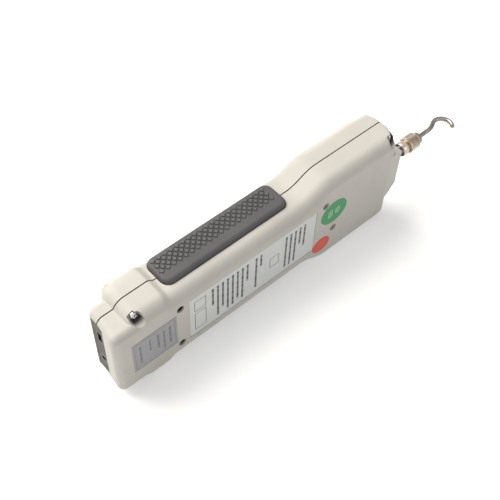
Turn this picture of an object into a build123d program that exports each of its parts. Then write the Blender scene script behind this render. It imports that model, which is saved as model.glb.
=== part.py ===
from build123d import *
import math
import os

os.makedirs("parts", exist_ok=True)

# Hand-held push-pull force gauge, lying on its narrow side.
# The origin is where the measuring axis leaves the nose. +X runs along the measuring axis to the
# hook, +Z across the width of the case, and -Y is the labelled rear face. Lengths are millimetres.

# Case, along X
case_length = 195.0  # tail end to head end, along the parting line
nose_length = 10.2  # head end to nose face
tail_length = 9.3  # narrower tail block
body_length = 21.7  # lower body between the tail and the slope into the waist
waist_slope = 3.3  # slope from the lower body down to the waist
waist_length = 92.0
head_slope = 13.0  # slope from the waist up to the head

# Case, across Z
head_width = 66.0
body_width = 58.2
tail_width = 49.8
waist_width = 53.0
front_slope_width = 14.5  # side wall in to the flat middle of the front face

# Case, along Y, measured from the measuring axis
rear_depth = 12.0
parting_height = 3.8
front_height = 24.0
front_edge_height = 15.4  # where the front slope meets the side wall at the head
tail_front_height = 13.5

# Case, form
wall = 2.5
edge_radius = 7.0  # rounding round the rear face
plan_radius = 7.5  # tail corners of the lower body, seen on the rear face
head_radius = 3.0  # rim of the head's end face
blend_radius = 18.0  # waist into head
front_radius = 1.5  # rim of the front face
tail_radius = 4.0
step_radius = 2.5  # step from the lower body to the waist
parting_gap = 0.6  # shadow line between the halves
lip_height = 1.5
lip_play = 0.15
fit_gap = 0.3  # play between separate pieces
thread_fit = 0.02  # screws and inserts in their holes, on the radius
screw_clear = 0.1  # screws in plain holes, on the radius
end_draft = 19.0  # degrees, head end below the parting line
end_draft_start = -1.0  # height at which the draft starts
tail_draft = 7.5  # degrees, tail end

# Nose
nose_root = 9.0  # how far the nose runs into the head
nose_root_width = 34.0
nose_shoulder_width = 26.6
nose_tip_width = 19.0
nose_bevel = 2.6
nose_rear_depth = 8.5
nose_front_depth = 9.5

# Grip pads
grip_length = 81.6
grip_start = 2.2  # waist start to the grip's tail end
grip_half_height = 9.4
grip_centre_height = 5.6
grip_seat = 2.0  # depth of the pocket in the case
grip_rise = 2.6  # above the waist surface
grip_corner = 5.0
grip_edge = 2.4
grip_wall = 2.0  # case wall under the pad
grip_play = 0.35  # round the pad in its pocket

# Measuring axis
shaft_radius = 3.0
shaft_flange_radius = 5.5
shaft_flange = 2.6
shaft_stub = 6.0  # length of the shaft inside the load cell
shaft_play = 0.05
shaft_out = 17.0  # beyond the nose face
shaft_hole_play = 1.2  # around the shaft in the head's end wall
ring_radius = 5.0
ring_bore_play = 0.7
ring_thickness = 4.0

# Load cell, an S-beam
beam_gap = 10.0  # head end to the front of the beam
beam_length = 34.0
beam_width = 44.0
beam_depth = 13.0
beam_slot = 3.0
beam_plate = 8.0
beam_slot_stop = 8.0  # solid stretch past the end of each slot
beam_bore = 4.0
beam_bore_pitch = 9.0

# Load cell bracket
bracket_plate = 2.6
bracket_wall = 4.0
bracket_tail = 9.0  # plate beyond the head pair of holes
bracket_width = 44.0
bracket_ear = 10.5
bracket_boss_radius = 3.2
bracket_boss = 3.0
beam_screw_radius = 2.0
beam_screw_spacing = 33.4
beam_screw_head_radius = 3.5
beam_screw_head = 3.5
beam_screw_grip = 6.0
floor_screw_radius = 1.2
floor_screw_head_radius = 2.2
floor_screw_head = 1.4
floor_screw_spacing = 16.0
floor_screw_grip = 1.9
floor_screw_inset = 5.0

# Hook and its collar
collar_start = 7.6  # nose face to the back of the collar
collar_neck = 5.6
collar_neck_radius = 4.3
collar_bead = 0.9
collar_bead_radius = 5.2
collar_radius = 5.0
collar_grip = 7.2
collar_chamfer = 0.6
collar_tip = 2.7
collar_tip_radius = 3.7
wire_radius = 1.45
wire_seat = 4.0  # length of the wire inside the collar
wire_shank = 8.5  # straight wire beyond the collar
hook_radius = 6.0
hook_reach = 10.5  # end of the shank to the bend's centre
hook_offset = -3.0  # bend's centre, across the measuring axis
hook_end_angle = -50.0  # where the round bend ends

# Case screws
pocket_radius = 3.0
pocket_depth = 7.0
screw_head_radius = 2.6
screw_head = 1.8
screw_radius = 1.4
screw_hole_play = 0.15
screw_inset = 3.2  # side wall to the screw's axis
screw_grip = 8.0  # length in the front shell
tail_screw_distance = 15.0  # tail end to the first pair
head_screw_distance = 5.2  # head end to the second pair
boss_wall = 1.5

# Rear mounting holes
mount_spacing_x = 100.0
mount_tail_distance = 38.0  # tail end to the first pair
tail_mount_spacing = 31.0
head_mount_spacing = 33.4
centre_mount_spacing = 15.6
centre_mount_shift = 8.5  # from the head pair towards the nose
mount_hole_radius = 2.3
mount_thread_radius = 1.65
insert_radius = 3.0
insert_length = 6.0
insert_boss_wall = 1.8
insert_floor = 1.0  # case wall left under the insert

# Labels on the rear face
label_thickness = 0.2
label_recess = 0.35
label_margin = 0.3
spec_label_length = 88.0
spec_label_width = 32.5
spec_label_start = 43.4  # from the tail end
rating_label_length = 27.5
rating_label_width = 24.4
rating_label_start = 7.6
green_radius = 8.6
green_stretch = 1.12
green_shift = 7.3  # from the head pair of holes
green_height = 7.0
red_radius = 5.7
red_stretch = 1.15

# End panel
panel_width = 43.0
panel_height = 10.0
panel_centre_height = 4.4
panel_inset = 0.4
panel_flange = 1.2
panel_flange_lap = 0.6
panel_play = 0.1
tail_bevel = 2.4  # bevel at the front of the tail end
data_width = 9.0
data_height = 5.0
data_depth = 9.0
data_slot_width = 7.0
data_slot_height = 3.0
data_slot_depth = 6.0
data_place = 9.0
jack_radius = 3.4
jack_bore = 1.7
jack_depth = 10.0
jack_place = -11.0

# Board, display and keys
board_height = 12.0
board_thickness = 1.6
board_width = 40.0
board_length = 78.0
board_gap = 10.0  # from the head end
board_boss_wall = 1.6
board_screw_radius = 1.2
board_screw_grip = 4.0
board_screw_head_radius = 2.2
board_screw_head = 1.4
board_screw_inset = 3.6
display_length = 30.0
display_width = 32.0
display_thickness = 5.0
display_gap = 17.0  # from the head end
window_length = 27.0
window_width = 30.0
window_thickness = 1.4
window_ledge = 1.6
window_recess = 0.3
window_play = 0.1
window_corner = 2.0
keypad_gap = 6.3  # display to the middle of the first row
key_length = 7.5
key_width = 8.5
key_pitch_x = 10.5
key_pitch_z = 12.0
key_corner = 2.0
key_rise = 1.0
key_flange = 0.8
key_flange_thickness = 1.2
key_play = 0.25
key_travel = 0.5
switch_size = 6.0
switch_clear = 0.2  # between a pressed key and its switch
chip_length = 12.0
chip_thickness = 1.6
buzzer_radius = 6.0
buzzer_thickness = 4.5

# Battery
cell_radius = 6.8
cell_length = 50.0
cell_pitch = 13.9
tray_wall = 1.2
tray_gap = 44.0  # from the tail end
tray_play = 0.2
cell_count = 3
rib_height = 1.0  # ribs under the tray
rib_thickness = 1.5
rib_pitch = 18.0

# Derived places along X
head_end = -nose_length
tail_end = head_end - case_length
body_start = tail_end + tail_length
body_stop = body_start + body_length
waist_start = body_stop + waist_slope
waist_stop = waist_start + waist_length
head_start = waist_stop + head_slope
mount_tail_x = tail_end + mount_tail_distance
mount_head_x = mount_tail_x + mount_spacing_x
mount_centre_x = mount_head_x + centre_mount_shift
grip_centre_x = waist_start + grip_start + grip_length / 2
cavity_floor = -rear_depth + wall
cavity_roof = front_height - wall
front_slope = math.degrees(math.atan2(front_slope_width, front_height - front_edge_height))
draft_run = (rear_depth + end_draft_start) * math.tan(math.radians(end_draft))
tail_run = (rear_depth + parting_height) * math.tan(math.radians(tail_draft))


def at_height(height):
    """Plane seen from the rear, at a height along Y. Its local Y is the part's Z."""
    return Plane.XZ.offset(-height)


def along(start):
    """Plane across the measuring axis, at a place along X. Its local X is Y, its local Y is Z."""
    return Plane.YZ.offset(start)


def corners_at(outline, *places):
    """Corners of a sketch at given places along X."""
    return [corner for corner in outline.vertices() if any(abs(corner.X - x) < 0.01 for x in places)]


def main_outline(inset=0.0):
    """Lower body, waist and head as seen on the rear face, with square ends."""
    with BuildSketch() as outline:
        with BuildLine():
            Polyline(
                (body_start, 0),
                (body_start, body_width / 2),
                (body_stop, body_width / 2),
                (waist_start, waist_width / 2),
                (waist_stop, waist_width / 2),
                (head_start, head_width / 2),
                (head_end, head_width / 2),
                (head_end, 0),
                close=True,
            )
        make_face()
        mirror(about=Plane.XZ)
        fillet(corners_at(outline, waist_stop, head_start), blend_radius)
        if inset:
            offset(amount=-inset, mode=Mode.REPLACE)
    return outline.sketch


def tail_outline(inset=0.0):
    """Narrower tail block as seen on the rear face, running on into the lower body."""
    start = tail_end - tail_run + inset
    length = body_start + plan_radius + edge_radius - start
    with BuildSketch() as outline:
        with Locations((start + length / 2, 0)):
            Rectangle(length, tail_width - 2 * inset)
    return outline.sketch


def side_block(*points):
    """Block across the whole width with a given side view, drawn in X and Y."""
    with BuildPart() as block:
        with BuildSketch(Plane.XY):
            with BuildLine():
                Polyline(*points, close=True)
            make_face()
        extrude(amount=head_width, both=True)
    return block.part


def rising_edges(part, x_low, x_high):
    """Edges at an end of the case that rise through its depth, so its corners in the rear view."""
    return [
        edge
        for edge in part.edges()
        if x_low < edge.center().X < x_high and abs(edge.tangent_at(0.5).Y) > 0.5
    ]


# Rear half, outer form: drafted ends, rounded corners and a rounded rear edge
with BuildPart() as rear_main:
    with BuildSketch(at_height(parting_height)):
        add(main_outline())
    extrude(amount=parting_height + rear_depth)
    add(
        side_block(
            (head_end, end_draft_start),
            (head_end - draft_run, -rear_depth),
            (head_end, -rear_depth),
        ),
        mode=Mode.SUBTRACT,
    )
    fillet(rising_edges(rear_main.part, body_start - 1, body_start + 1), plan_radius)
    fillet(rising_edges(rear_main.part, body_stop - 1, waist_start + 1), step_radius)
    fillet(rear_main.faces().sort_by(Axis.Y)[0].edges().sort_by(Axis.X)[:-1], edge_radius)
    end_edges = [
        edge for edge in rear_main.edges() if edge.bounding_box().min.X > head_end - draft_run - 0.01
    ]
    fillet([edge for edge in end_edges if edge.center().Y < parting_height - 0.01], head_radius)

with BuildPart() as rear_tail:
    with BuildSketch(at_height(parting_height)):
        add(tail_outline())
    extrude(amount=parting_height + rear_depth)
    add(
        side_block(
            (tail_end, parting_height),
            (tail_end - tail_run, parting_height),
            (tail_end - tail_run, -rear_depth),
        ),
        mode=Mode.SUBTRACT,
    )
    fillet(rising_edges(rear_tail.part, tail_end - tail_run - 1, tail_end + 1), tail_radius)
    fillet(rear_tail.faces().sort_by(Axis.Y)[0].edges().sort_by(Axis.X)[:-1], tail_radius)

# Front half, outer form: straight wall, then a slope all round up to the flat front
with BuildPart() as front_main:
    with BuildSketch(at_height(front_edge_height)):
        add(main_outline())
    extrude(amount=front_edge_height - parting_height - parting_gap)
    with BuildSketch(at_height(front_edge_height)):
        add(main_outline())
    extrude(amount=front_edge_height - front_height, taper=front_slope)
    fillet(rising_edges(front_main.part, head_end - 16, head_end + 1), head_radius)
    fillet(rising_edges(front_main.part, body_start - 1, body_start + 16), plan_radius)
    fillet(rising_edges(front_main.part, body_stop - 8, waist_start + 8), step_radius)
    fillet(front_main.faces().sort_by(Axis.Y)[-1].edges(), front_radius)

with BuildPart() as front_tail:
    with BuildSketch(at_height(tail_front_height)):
        add(tail_outline())
    extrude(amount=tail_front_height - parting_height - parting_gap)
    split(bisect_by=Plane.YZ.offset(tail_end), keep=Keep.TOP)
    fillet(rising_edges(front_tail.part, tail_end - 1, tail_end + 1), tail_radius)
    fillet(front_tail.faces().sort_by(Axis.Y)[-1].edges().sort_by(Axis.X)[:-1], tail_radius)


    add(
        side_block(
            (tail_end - 1, tail_front_height - tail_bevel),
            (tail_end, tail_front_height - tail_bevel),
            (tail_end + tail_bevel, tail_front_height),
            (tail_end - 1, tail_front_height),
        ),
        mode=Mode.SUBTRACT,
    )


def nose_block(*side_view):
    """Tapered nose in plan, cut to a given side view."""
    with BuildPart() as block:
        with BuildSketch(at_height(front_height)):
            with BuildLine():
                Polyline(
                    (head_end - nose_root, 0),
                    (head_end - nose_root, nose_root_width / 2),
                    (head_end, nose_root_width / 2),
                    (-nose_bevel, nose_shoulder_width / 2),
                    (0, nose_tip_width / 2),
                    (0, 0),
                    close=True,
                )
            make_face()
            mirror(about=Plane.XZ)
        extrude(amount=front_height + rear_depth)
        add(side_block(*side_view), mode=Mode.INTERSECT)
    return block.part


def bore(start, length, radius):
    """Cylinder on the measuring axis."""
    with BuildPart() as cylinder:
        with BuildSketch(along(start)):
            Circle(radius)
        extrude(amount=length)
    return cylinder.part


def posts(places, radius, low, high):
    """Cylinders along Y at places in X and Z."""
    with BuildPart() as group:
        with BuildSketch(at_height(high)):
            with Locations(*places):
                Circle(radius)
        extrude(amount=high - low)
    return group.part


def case_outline(inset):
    """Whole case as seen on the rear face, without the nose."""
    with BuildSketch() as outline:
        add(main_outline())
        fillet(corners_at(outline, body_start), plan_radius)
        fillet(corners_at(outline, head_end), head_radius)
        with Locations((tail_end + tail_length, 0)):
            Rectangle(2 * tail_length, tail_width)
        fillet(corners_at(outline, tail_end), tail_radius)
        offset(amount=-inset, mode=Mode.REPLACE)
    return outline.sketch


with BuildPart() as rear_form:
    add(rear_main.part)
    add(rear_tail.part)
    add(
        nose_block(
            (head_end - nose_root, -rear_depth),
            (-nose_bevel, -nose_rear_depth),
            (0, nose_bevel - nose_rear_depth),
            (0, parting_height),
            (head_end - nose_root, parting_height),
        )
    )

with BuildPart() as front_form:
    add(front_main.part)
    add(front_tail.part)
    add(
        nose_block(
            (head_end - nose_root, parting_height + parting_gap),
            (0, parting_height + parting_gap),
            (0, nose_front_depth - nose_bevel),
            (-nose_bevel, nose_front_depth),
            (head_end, front_edge_height),
            (head_end - nose_root, front_edge_height),
        )
    )


# Places shared by several pieces
front_low = parting_height + parting_gap
slope_tan = (front_height - front_edge_height) / front_slope_width
inner_edge_height = front_edge_height + wall * slope_tan - wall * math.hypot(1, slope_tan)
screw_places = [
    (x, side * (width / 2 - screw_inset))
    for x, width in (
        (tail_end + tail_screw_distance, body_width),
        (head_end - head_screw_distance, head_width),
    )
    for side in (-1, 1)
]
tail_mounts = [(mount_tail_x, side * tail_mount_spacing / 2) for side in (-1, 1)]
head_mounts = [(mount_head_x, side * head_mount_spacing / 2) for side in (-1, 1)]
centre_mounts = [(mount_centre_x, side * centre_mount_spacing / 2) for side in (-1, 1)]
pocket_floor = pocket_depth - rear_depth
insert_low = insert_floor - rear_depth
cavity_stop = head_end - draft_run - wall
backing_width = waist_width - 2 * (grip_seat + grip_wall)
board_stop = head_end - board_gap
board_start = board_stop - board_length
board_top = board_height + board_thickness
board_centre_x = (board_start + board_stop) / 2
board_screws = [
    (x, side * (board_width / 2 - board_screw_inset))
    for x in (board_start + board_screw_inset, board_stop - board_screw_inset)
    for side in (-1, 1)
]
display_x = head_end - display_gap - display_length / 2
window_low = front_height - window_recess - window_thickness
key_places = [
    (
        display_x - display_length / 2 - keypad_gap - row * key_pitch_x,
        (column - 0.5) * key_pitch_z,
    )
    for row in range(3)
    for column in range(2)
]
key_low = cavity_roof - fit_gap - key_flange_thickness
beam_front = head_end - beam_gap
beam_back = beam_front - beam_length
bracket_start = mount_head_x - bracket_tail
floor_screws = [
    (bracket_start + floor_screw_inset, side * floor_screw_spacing / 2) for side in (-1, 1)
]
tray_start = tail_end + tray_gap
tray_length = cell_length + 2 * (tray_wall + tray_play)
tray_width = (cell_count - 1) * cell_pitch + 2 * (cell_radius + tray_wall + tray_play)
tray_x = tray_start + tray_length / 2
tray_floor = cavity_floor + rib_height
cell_height = tray_floor + tray_wall + tray_play + cell_radius
spec_label_x = tail_end + spec_label_start + spec_label_length / 2
rating_label_x = tail_end + rating_label_start + rating_label_length / 2
collar_grip_start = collar_start + collar_neck + collar_bead
collar_tip_start = collar_grip_start + collar_grip
collar_stop = collar_tip_start + collar_tip
shank_stop = collar_stop + wire_shank


def grip_block(side, low, high, margin):
    """Rounded block in the shape of a grip pad, between two distances from the middle."""
    with BuildPart() as block:
        with BuildSketch(Plane.XY.offset(side * low)):
            with Locations((grip_centre_x, grip_centre_height)):
                RectangleRounded(
                    grip_length + 2 * margin,
                    2 * (grip_half_height + margin),
                    grip_corner + margin,
                )
        extrude(amount=side * (high - low))
    return block.part


def panel_opening(margin, start, length):
    """Block in the shape of the end panel's plate."""
    with BuildPart() as block:
        with BuildSketch(along(start)):
            with Locations((panel_centre_height, 0)):
                Rectangle(panel_height + 2 * margin, panel_width + 2 * margin)
        extrude(amount=length)
    return block.part


def within(form, part):
    """What of a part lies inside the outer form."""
    with BuildPart() as trimmed:
        add(part)
        add(form, mode=Mode.INTERSECT)
    return trimmed.part


# Rear shell
with BuildPart() as rear_cavity:
    with BuildSketch(at_height(parting_height)):
        add(case_outline(wall))
    extrude(amount=parting_height - cavity_floor)
    with Locations((cavity_stop + head_width / 2, 0, 0)):
        Box(head_width, front_height, head_width, mode=Mode.SUBTRACT)

with BuildPart() as rear_shell:
    add(rear_form.part)
    add(rear_cavity.part, mode=Mode.SUBTRACT)
    for side in (-1, 1):
        backing = grip_block(side, backing_width / 2, waist_width / 2, grip_wall)
        add(within(rear_form.part, backing))
    add(within(rear_form.part, posts(screw_places, pocket_radius + boss_wall, -rear_depth, parting_height)))
    add(posts(tail_mounts, insert_radius + insert_boss_wall, cavity_floor, insert_low + insert_length))
    with BuildSketch(at_height(tray_floor)):
        with Locations((tray_x, 0)):
            with GridLocations(rib_pitch, rib_pitch, 3, 1):
                Rectangle(rib_thickness, tray_width)
    extrude(amount=rib_height)
    with BuildSketch(at_height(parting_height + lip_height)):
        add(case_outline(wall / 2 + lip_play))
        add(case_outline(wall), mode=Mode.SUBTRACT)
    extrude(amount=lip_height)
    for side in (-1, 1):
        add(
            grip_block(side, waist_width / 2 - grip_seat, head_width, grip_play),
            mode=Mode.SUBTRACT,
        )
    add(posts(screw_places, pocket_radius, -rear_depth, pocket_floor), mode=Mode.SUBTRACT)
    add(
        posts(screw_places, screw_radius + screw_hole_play, pocket_floor, parting_height + lip_height),
        mode=Mode.SUBTRACT,
    )
    add(posts(tail_mounts, insert_radius, insert_low, insert_low + insert_length), mode=Mode.SUBTRACT)
    add(
        posts(tail_mounts + head_mounts + centre_mounts, mount_hole_radius, -rear_depth, cavity_floor),
        mode=Mode.SUBTRACT,
    )
    add(
        posts(floor_screws, floor_screw_radius + thread_fit, cavity_floor - floor_screw_grip, cavity_floor),
        mode=Mode.SUBTRACT,
    )
    add(bore(cavity_stop - wall, -cavity_stop + wall, shaft_radius + shaft_hole_play), mode=Mode.SUBTRACT)
    add(bore(-ring_thickness, ring_thickness, ring_radius), mode=Mode.SUBTRACT)
    add(panel_opening(panel_play, tail_end - tail_run, tail_run + wall), mode=Mode.SUBTRACT)
    with BuildSketch(at_height(label_recess - rear_depth)):
        with Locations((spec_label_x, 0)):
            Rectangle(spec_label_length + 2 * label_margin, spec_label_width + 2 * label_margin)
    extrude(amount=label_recess, mode=Mode.SUBTRACT)
rear_shell.part.label = "rear_shell"
export_step(rear_shell.part, "parts/rear_shell.step")

# Front shell
with BuildPart() as front_cavity:
    with BuildSketch(at_height(inner_edge_height)):
        add(main_outline(wall))
    extrude(amount=inner_edge_height - front_low)
    for start, stop, width in (
        (body_start + wall, head_end - 2 * wall, waist_width),
        (head_start + wall, head_end - wall, head_width),
    ):
        with BuildSketch(at_height(inner_edge_height)):
            with Locations(((start + stop) / 2, 0)):
                Rectangle(stop - start, width - 2 * wall)
        extrude(amount=inner_edge_height - cavity_roof, taper=front_slope)
    split(bisect_by=Plane.YZ.offset(body_start + plan_radius), keep=Keep.TOP)
    with BuildSketch(at_height(tail_front_height - wall)):
        with Locations((tail_end + wall + tail_length, 0)):
            Rectangle(2 * tail_length, tail_width - 2 * wall)
    extrude(amount=tail_front_height - wall - front_low)

with BuildPart() as front_shell:
    add(front_form.part)
    add(front_cavity.part, mode=Mode.SUBTRACT)
    for side in (-1, 1):
        backing = grip_block(side, backing_width / 2, waist_width / 2, grip_wall)
        add(within(front_form.part, backing))
    add(within(front_form.part, posts(screw_places, screw_radius + boss_wall, front_low, front_height)))
    add(
        within(
            front_form.part,
            posts(board_screws, board_screw_radius + board_boss_wall, board_top, front_height),
        )
    )
    with BuildSketch(at_height(front_low + lip_height)):
        add(case_outline(wall / 2))
        add(case_outline(wall + lip_play), mode=Mode.SUBTRACT)
    extrude(amount=lip_height, mode=Mode.SUBTRACT)
    for side in (-1, 1):
        add(
            grip_block(side, waist_width / 2 - grip_seat, head_width, grip_play),
            mode=Mode.SUBTRACT,
        )
    add(
        posts(screw_places, screw_radius + thread_fit, front_low, front_low + screw_grip + fit_gap),
        mode=Mode.SUBTRACT,
    )
    add(
        posts(board_screws, board_screw_radius + thread_fit, board_top, board_top + board_screw_grip),
        mode=Mode.SUBTRACT,
    )
    add(bore(cavity_stop - wall, -cavity_stop + wall, shaft_radius + shaft_hole_play), mode=Mode.SUBTRACT)
    add(bore(-ring_thickness, ring_thickness, ring_radius), mode=Mode.SUBTRACT)
    add(panel_opening(panel_play, tail_end, wall), mode=Mode.SUBTRACT)
    with BuildSketch(at_height(front_height)):
        with Locations((display_x, 0)):
            RectangleRounded(window_length + 2 * window_play, window_width + 2 * window_play, window_corner)
    extrude(amount=front_height - window_low, mode=Mode.SUBTRACT)
    with BuildSketch(at_height(front_height)):
        with Locations((display_x, 0)):
            Rectangle(window_length - 2 * window_ledge, window_width - 2 * window_ledge)
        with Locations(*key_places):
            RectangleRounded(key_length + 2 * key_play, key_width + 2 * key_play, key_corner + key_play)
    extrude(amount=2 * wall, mode=Mode.SUBTRACT)
front_shell.part.label = "front_shell"
export_step(front_shell.part, "parts/front_shell.step")

# Grip pads
for side, place in ((1, "upper"), (-1, "lower")):
    with BuildPart() as grip_pad:
        add(grip_block(side, waist_width / 2 - grip_seat, waist_width / 2 + grip_rise, 0))
        outer_face = grip_pad.faces().sort_by(Axis.Z)[-1 if side > 0 else 0]
        fillet(outer_face.edges(), grip_edge)
    grip_pad.part.label = f"{place}_grip_pad"
    export_step(grip_pad.part, f"parts/{place}_grip_pad.step")

# Dark panel in the tail end, with its data socket and power jack
with BuildPart() as end_panel:
    add(panel_opening(0, tail_end + panel_inset, wall - panel_inset))
    with BuildSketch(along(tail_end + wall)):
        with Locations((panel_centre_height, 0)):
            Rectangle(panel_height + 2 * panel_flange_lap, panel_width - 2 * panel_flange_lap)
    extrude(amount=panel_flange)
    with BuildSketch(along(tail_end)):
        with Locations((panel_centre_height, data_place)):
            Rectangle(data_height + 2 * panel_play, data_width + 2 * panel_play)
        with Locations((panel_centre_height, jack_place)):
            Circle(jack_radius + panel_play)
    extrude(amount=wall + panel_flange, mode=Mode.SUBTRACT)
end_panel.part.label = "end_panel"
export_step(end_panel.part, "parts/end_panel.step")

with BuildPart() as data_socket:
    with BuildSketch(along(tail_end + panel_inset)):
        with Locations((panel_centre_height, data_place)):
            RectangleRounded(data_height, data_width, panel_inset)
    extrude(amount=data_depth)
    with BuildSketch(along(tail_end + panel_inset)):
        with Locations((panel_centre_height, data_place)):
            Rectangle(data_slot_height, data_slot_width)
    extrude(amount=data_slot_depth, mode=Mode.SUBTRACT)
data_socket.part.label = "data_socket"
export_step(data_socket.part, "parts/data_socket.step")

with BuildPart() as power_jack:
    with BuildSketch(along(tail_end + panel_inset)):
        with Locations((panel_centre_height, jack_place)):
            Circle(jack_radius)
            Circle(jack_bore, mode=Mode.SUBTRACT)
    extrude(amount=jack_depth)
power_jack.part.label = "power_jack"
export_step(power_jack.part, "parts/power_jack.step")

# Screws
with BuildPart() as case_screws:
    add(posts(screw_places, screw_head_radius, pocket_floor - screw_head, pocket_floor))
    chamfer(case_screws.faces().group_by(Axis.Y)[0].edges(), screw_head / 3)
    add(posts(screw_places, screw_radius, pocket_floor, front_low + screw_grip))
case_screws.part.label = "case_screws"
export_step(case_screws.part, "parts/case_screws.step")

with BuildPart() as board_screw_group:
    add(posts(board_screws, board_screw_head_radius, board_height - board_screw_head, board_height))
    add(posts(board_screws, board_screw_radius, board_height, board_top + board_screw_grip))
board_screw_group.part.label = "board_screws"
export_step(board_screw_group.part, "parts/board_screws.step")

# Threaded inserts of the tail mounting holes
with BuildPart() as tail_inserts:
    add(posts(tail_mounts, insert_radius - thread_fit, insert_low, insert_low + insert_length))
    add(posts(tail_mounts, mount_thread_radius, insert_low, insert_low + insert_length), mode=Mode.SUBTRACT)
tail_inserts.part.label = "tail_inserts"
export_step(tail_inserts.part, "parts/tail_inserts.step")

# Load cell: a beam cut into an S, so that a pull at its middle bends it
with BuildPart() as load_cell:
    with BuildSketch(at_height(beam_depth / 2)):
        with Locations((beam_back, 0)):
            Rectangle(beam_length, beam_width, align=(Align.MIN, Align.CENTER))
        slot_length = beam_width - beam_slot_stop
        with Locations((beam_back + beam_plate, beam_width / 2)):
            Rectangle(beam_slot, slot_length, align=(Align.MIN, Align.MAX), mode=Mode.SUBTRACT)
        with Locations((beam_front - beam_plate, -beam_width / 2)):
            Rectangle(beam_slot, slot_length, align=(Align.MAX, Align.MIN), mode=Mode.SUBTRACT)
        with Locations((beam_back + beam_length / 2, 0)):
            SlotCenterToCenter(beam_bore_pitch, 2 * beam_bore, rotation=90, mode=Mode.SUBTRACT)
    extrude(amount=beam_depth)
    add(
        bore(beam_front - shaft_stub - fit_gap, shaft_stub + fit_gap, shaft_radius + shaft_play),
        mode=Mode.SUBTRACT,
    )
    with BuildSketch(along(beam_back)):
        with GridLocations(beam_screw_spacing, beam_screw_spacing, 1, 2):
            Circle(beam_screw_radius + thread_fit)
    extrude(amount=beam_screw_grip + fit_gap, mode=Mode.SUBTRACT)
load_cell.part.label = "load_cell"
export_step(load_cell.part, "parts/load_cell.step")

# Bracket that carries the load cell, with the threads of the head mounting holes
with BuildPart() as cell_bracket:
    with BuildSketch(at_height(cavity_floor + bracket_plate)):
        with Locations((bracket_start, 0)):
            Rectangle(beam_back - bracket_start, bracket_width, align=(Align.MIN, Align.CENTER))
        with Locations(*centre_mounts):
            Circle(bracket_boss_radius)
    extrude(amount=bracket_plate)
    add(
        posts(
            head_mounts + centre_mounts,
            bracket_boss_radius,
            cavity_floor + bracket_plate,
            cavity_floor + bracket_plate + bracket_boss,
        )
    )
    with BuildSketch(at_height(beam_depth / 2)):
        for side in (-1, 1):
            with Locations((beam_back - bracket_wall / 2, side * (bracket_width - bracket_ear) / 2)):
                Rectangle(bracket_wall, bracket_ear)
    extrude(amount=beam_depth / 2 - cavity_floor)
    add(
        posts(
            head_mounts + centre_mounts,
            mount_thread_radius,
            cavity_floor,
            cavity_floor + bracket_plate + bracket_boss,
        ),
        mode=Mode.SUBTRACT,
    )
    add(
        posts(floor_screws, floor_screw_radius + screw_clear, cavity_floor, cavity_floor + bracket_plate),
        mode=Mode.SUBTRACT,
    )
    with BuildSketch(along(beam_back - bracket_wall)):
        with GridLocations(beam_screw_spacing, beam_screw_spacing, 1, 2):
            Circle(beam_screw_radius + screw_clear)
    extrude(amount=bracket_wall, mode=Mode.SUBTRACT)
cell_bracket.part.label = "load_cell_bracket"
export_step(cell_bracket.part, "parts/load_cell_bracket.step")

with BuildPart() as beam_screws:
    with BuildSketch(along(beam_back - bracket_wall - beam_screw_head)):
        with GridLocations(beam_screw_spacing, beam_screw_spacing, 1, 2):
            Circle(beam_screw_head_radius)
    extrude(amount=beam_screw_head)
    with BuildSketch(along(beam_back - bracket_wall)):
        with GridLocations(beam_screw_spacing, beam_screw_spacing, 1, 2):
            Circle(beam_screw_radius)
    extrude(amount=bracket_wall + beam_screw_grip)
beam_screws.part.label = "load_cell_screws"
export_step(beam_screws.part, "parts/load_cell_screws.step")

with BuildPart() as bracket_screws:
    plate_top = cavity_floor + bracket_plate
    add(posts(floor_screws, floor_screw_head_radius, plate_top, plate_top + floor_screw_head))
    add(posts(floor_screws, floor_screw_radius, cavity_floor - floor_screw_grip, plate_top))
bracket_screws.part.label = "bracket_screws"
export_step(bracket_screws.part, "parts/bracket_screws.step")

# Measuring shaft, from the load cell out through the nose
with BuildPart() as measuring_shaft:
    add(bore(beam_front - shaft_stub, shaft_stub - beam_front + shaft_out, shaft_radius))
    add(bore(beam_front + fit_gap, shaft_flange, shaft_flange_radius))
    chamfer(measuring_shaft.faces().sort_by(Axis.X)[-1].edges(), shaft_radius / 6)
measuring_shaft.part.label = "measuring_shaft"
export_step(measuring_shaft.part, "parts/measuring_shaft.step")

with BuildPart() as nose_ring:
    with BuildSketch(along(-ring_thickness)):
        Circle(ring_radius - thread_fit)
        Circle(shaft_radius + ring_bore_play, mode=Mode.SUBTRACT)
    extrude(amount=ring_thickness)
nose_ring.part.label = "nose_ring"
export_step(nose_ring.part, "parts/nose_ring.step")

# Knurled collar on the shaft's thread, with the hook's wire fixed in its end
with BuildPart() as hook_collar:
    with BuildSketch(Plane.XY):
        with BuildLine():
            Polyline(
                (collar_start, 0),
                (collar_start, collar_neck_radius - collar_chamfer / 2),
                (collar_start + collar_chamfer / 2, collar_neck_radius),
                (collar_start + collar_neck, collar_neck_radius),
                (collar_start + collar_neck, collar_bead_radius),
                (collar_grip_start, collar_bead_radius),
                (collar_grip_start, collar_radius - collar_chamfer),
                (collar_grip_start + collar_chamfer, collar_radius),
                (collar_tip_start - collar_chamfer, collar_radius),
                (collar_tip_start, collar_radius - collar_chamfer),
                (collar_tip_start, collar_tip_radius),
                (collar_stop - collar_chamfer, collar_tip_radius),
                (collar_stop, collar_tip_radius - collar_chamfer),
                (collar_stop, 0),
                close=True,
            )
        make_face()
    revolve(axis=Axis.X)
    add(
        bore(collar_start, shaft_out - collar_start + fit_gap, shaft_radius + shaft_play),
        mode=Mode.SUBTRACT,
    )
    add(bore(collar_stop - wire_seat, wire_seat, wire_radius + thread_fit), mode=Mode.SUBTRACT)
hook_collar.part.label = "hook_collar"
export_step(hook_collar.part, "parts/hook_collar.step")

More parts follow.
